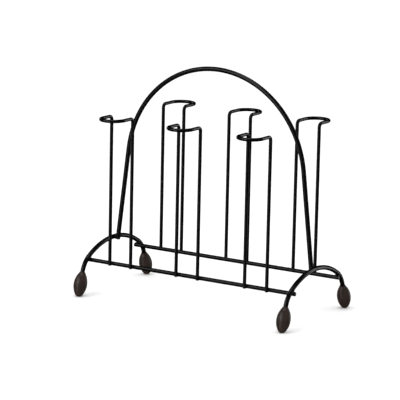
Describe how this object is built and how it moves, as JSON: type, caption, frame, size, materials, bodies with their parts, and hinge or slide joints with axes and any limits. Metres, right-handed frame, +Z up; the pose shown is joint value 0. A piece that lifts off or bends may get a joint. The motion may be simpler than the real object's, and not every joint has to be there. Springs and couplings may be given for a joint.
{
  "type": "wire tumbler rack",
  "caption": "Welded black wire rack with a tall arched handle, hairpin holders for upside-down tumblers on both sides, and olive-shaped brown feet.",
  "frame": {"origin": "on the standing surface, under the middle of the rack", "axes": "+X along the rack to its right end, the front faces -Y, +Z up"},
  "size_m": [0.2646, 0.1606, 0.2505],
  "materials": {
    "wire_coat": "semi-gloss black coat on steel wire",
    "foot_moulding": "satin dark brown moulding"
  },
  "bodies": {
    "root": {"handle_arch": "wire_coat", "left_leg_wire": "wire_coat", "right_leg_wire": "wire_coat", "front_rail": "wire_coat", "rear_rail": "wire_coat", "front_left_holder": "wire_coat", "front_middle_holder": "wire_coat", "front_right_holder": "wire_coat", "rear_left_holder": "wire_coat", "rear_middle_holder": "wire_coat", "rear_right_holder": "wire_coat", "handle_welds": "wire_coat", "left_rail_welds": "wire_coat", "right_rail_welds": "wire_coat", "front_holder_welds": "wire_coat", "rear_holder_welds": "wire_coat", "front_left_foot": "foot_moulding", "front_right_foot": "foot_moulding", "rear_left_foot": "foot_moulding", "rear_right_foot": "foot_moulding"}
  },
  "joints": []
}
